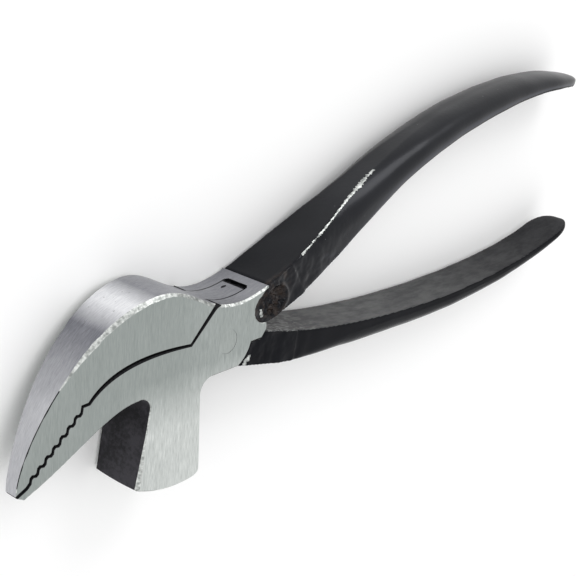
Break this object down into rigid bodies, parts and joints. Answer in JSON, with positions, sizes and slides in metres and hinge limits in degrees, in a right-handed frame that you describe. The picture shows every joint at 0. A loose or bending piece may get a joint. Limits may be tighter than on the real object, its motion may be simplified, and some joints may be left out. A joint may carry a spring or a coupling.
{
  "type": "lasting pincers",
  "caption": "Box-joint lasting pincers with curved toothed jaws, a hammer peg under the lower jaw and two bowed handles.",
  "frame": {"origin": "on the pivot axis, in the plane that the lying tool rests on", "axes": "+X from the nose towards the handles, +Y from the hammer towards the upper jaw, +Z along the pivot axis, up when the tool lies on its side"},
  "size_m": [0.2179, 0.0762, 0.0144],
  "materials": {
    "ground_forging": "ground and brushed head, handles and unground faces in satin black enamel",
    "rivet_steel": "ground flush"
  },
  "bodies": {
    "hammer_side": {"hammer_half": "ground_forging", "pivot_rivet": "rivet_steel"},
    "tongue_side": {"tongue_half": "ground_forging"}
  },
  "joints": [
    {"name": "jaw_pivot", "type": "hinge", "parent": "hammer_side", "child": "tongue_side", "pos_m": [0, 0, 0.0072], "axis": [0, 0, -1], "range_deg": [0, 35]}
  ]
}
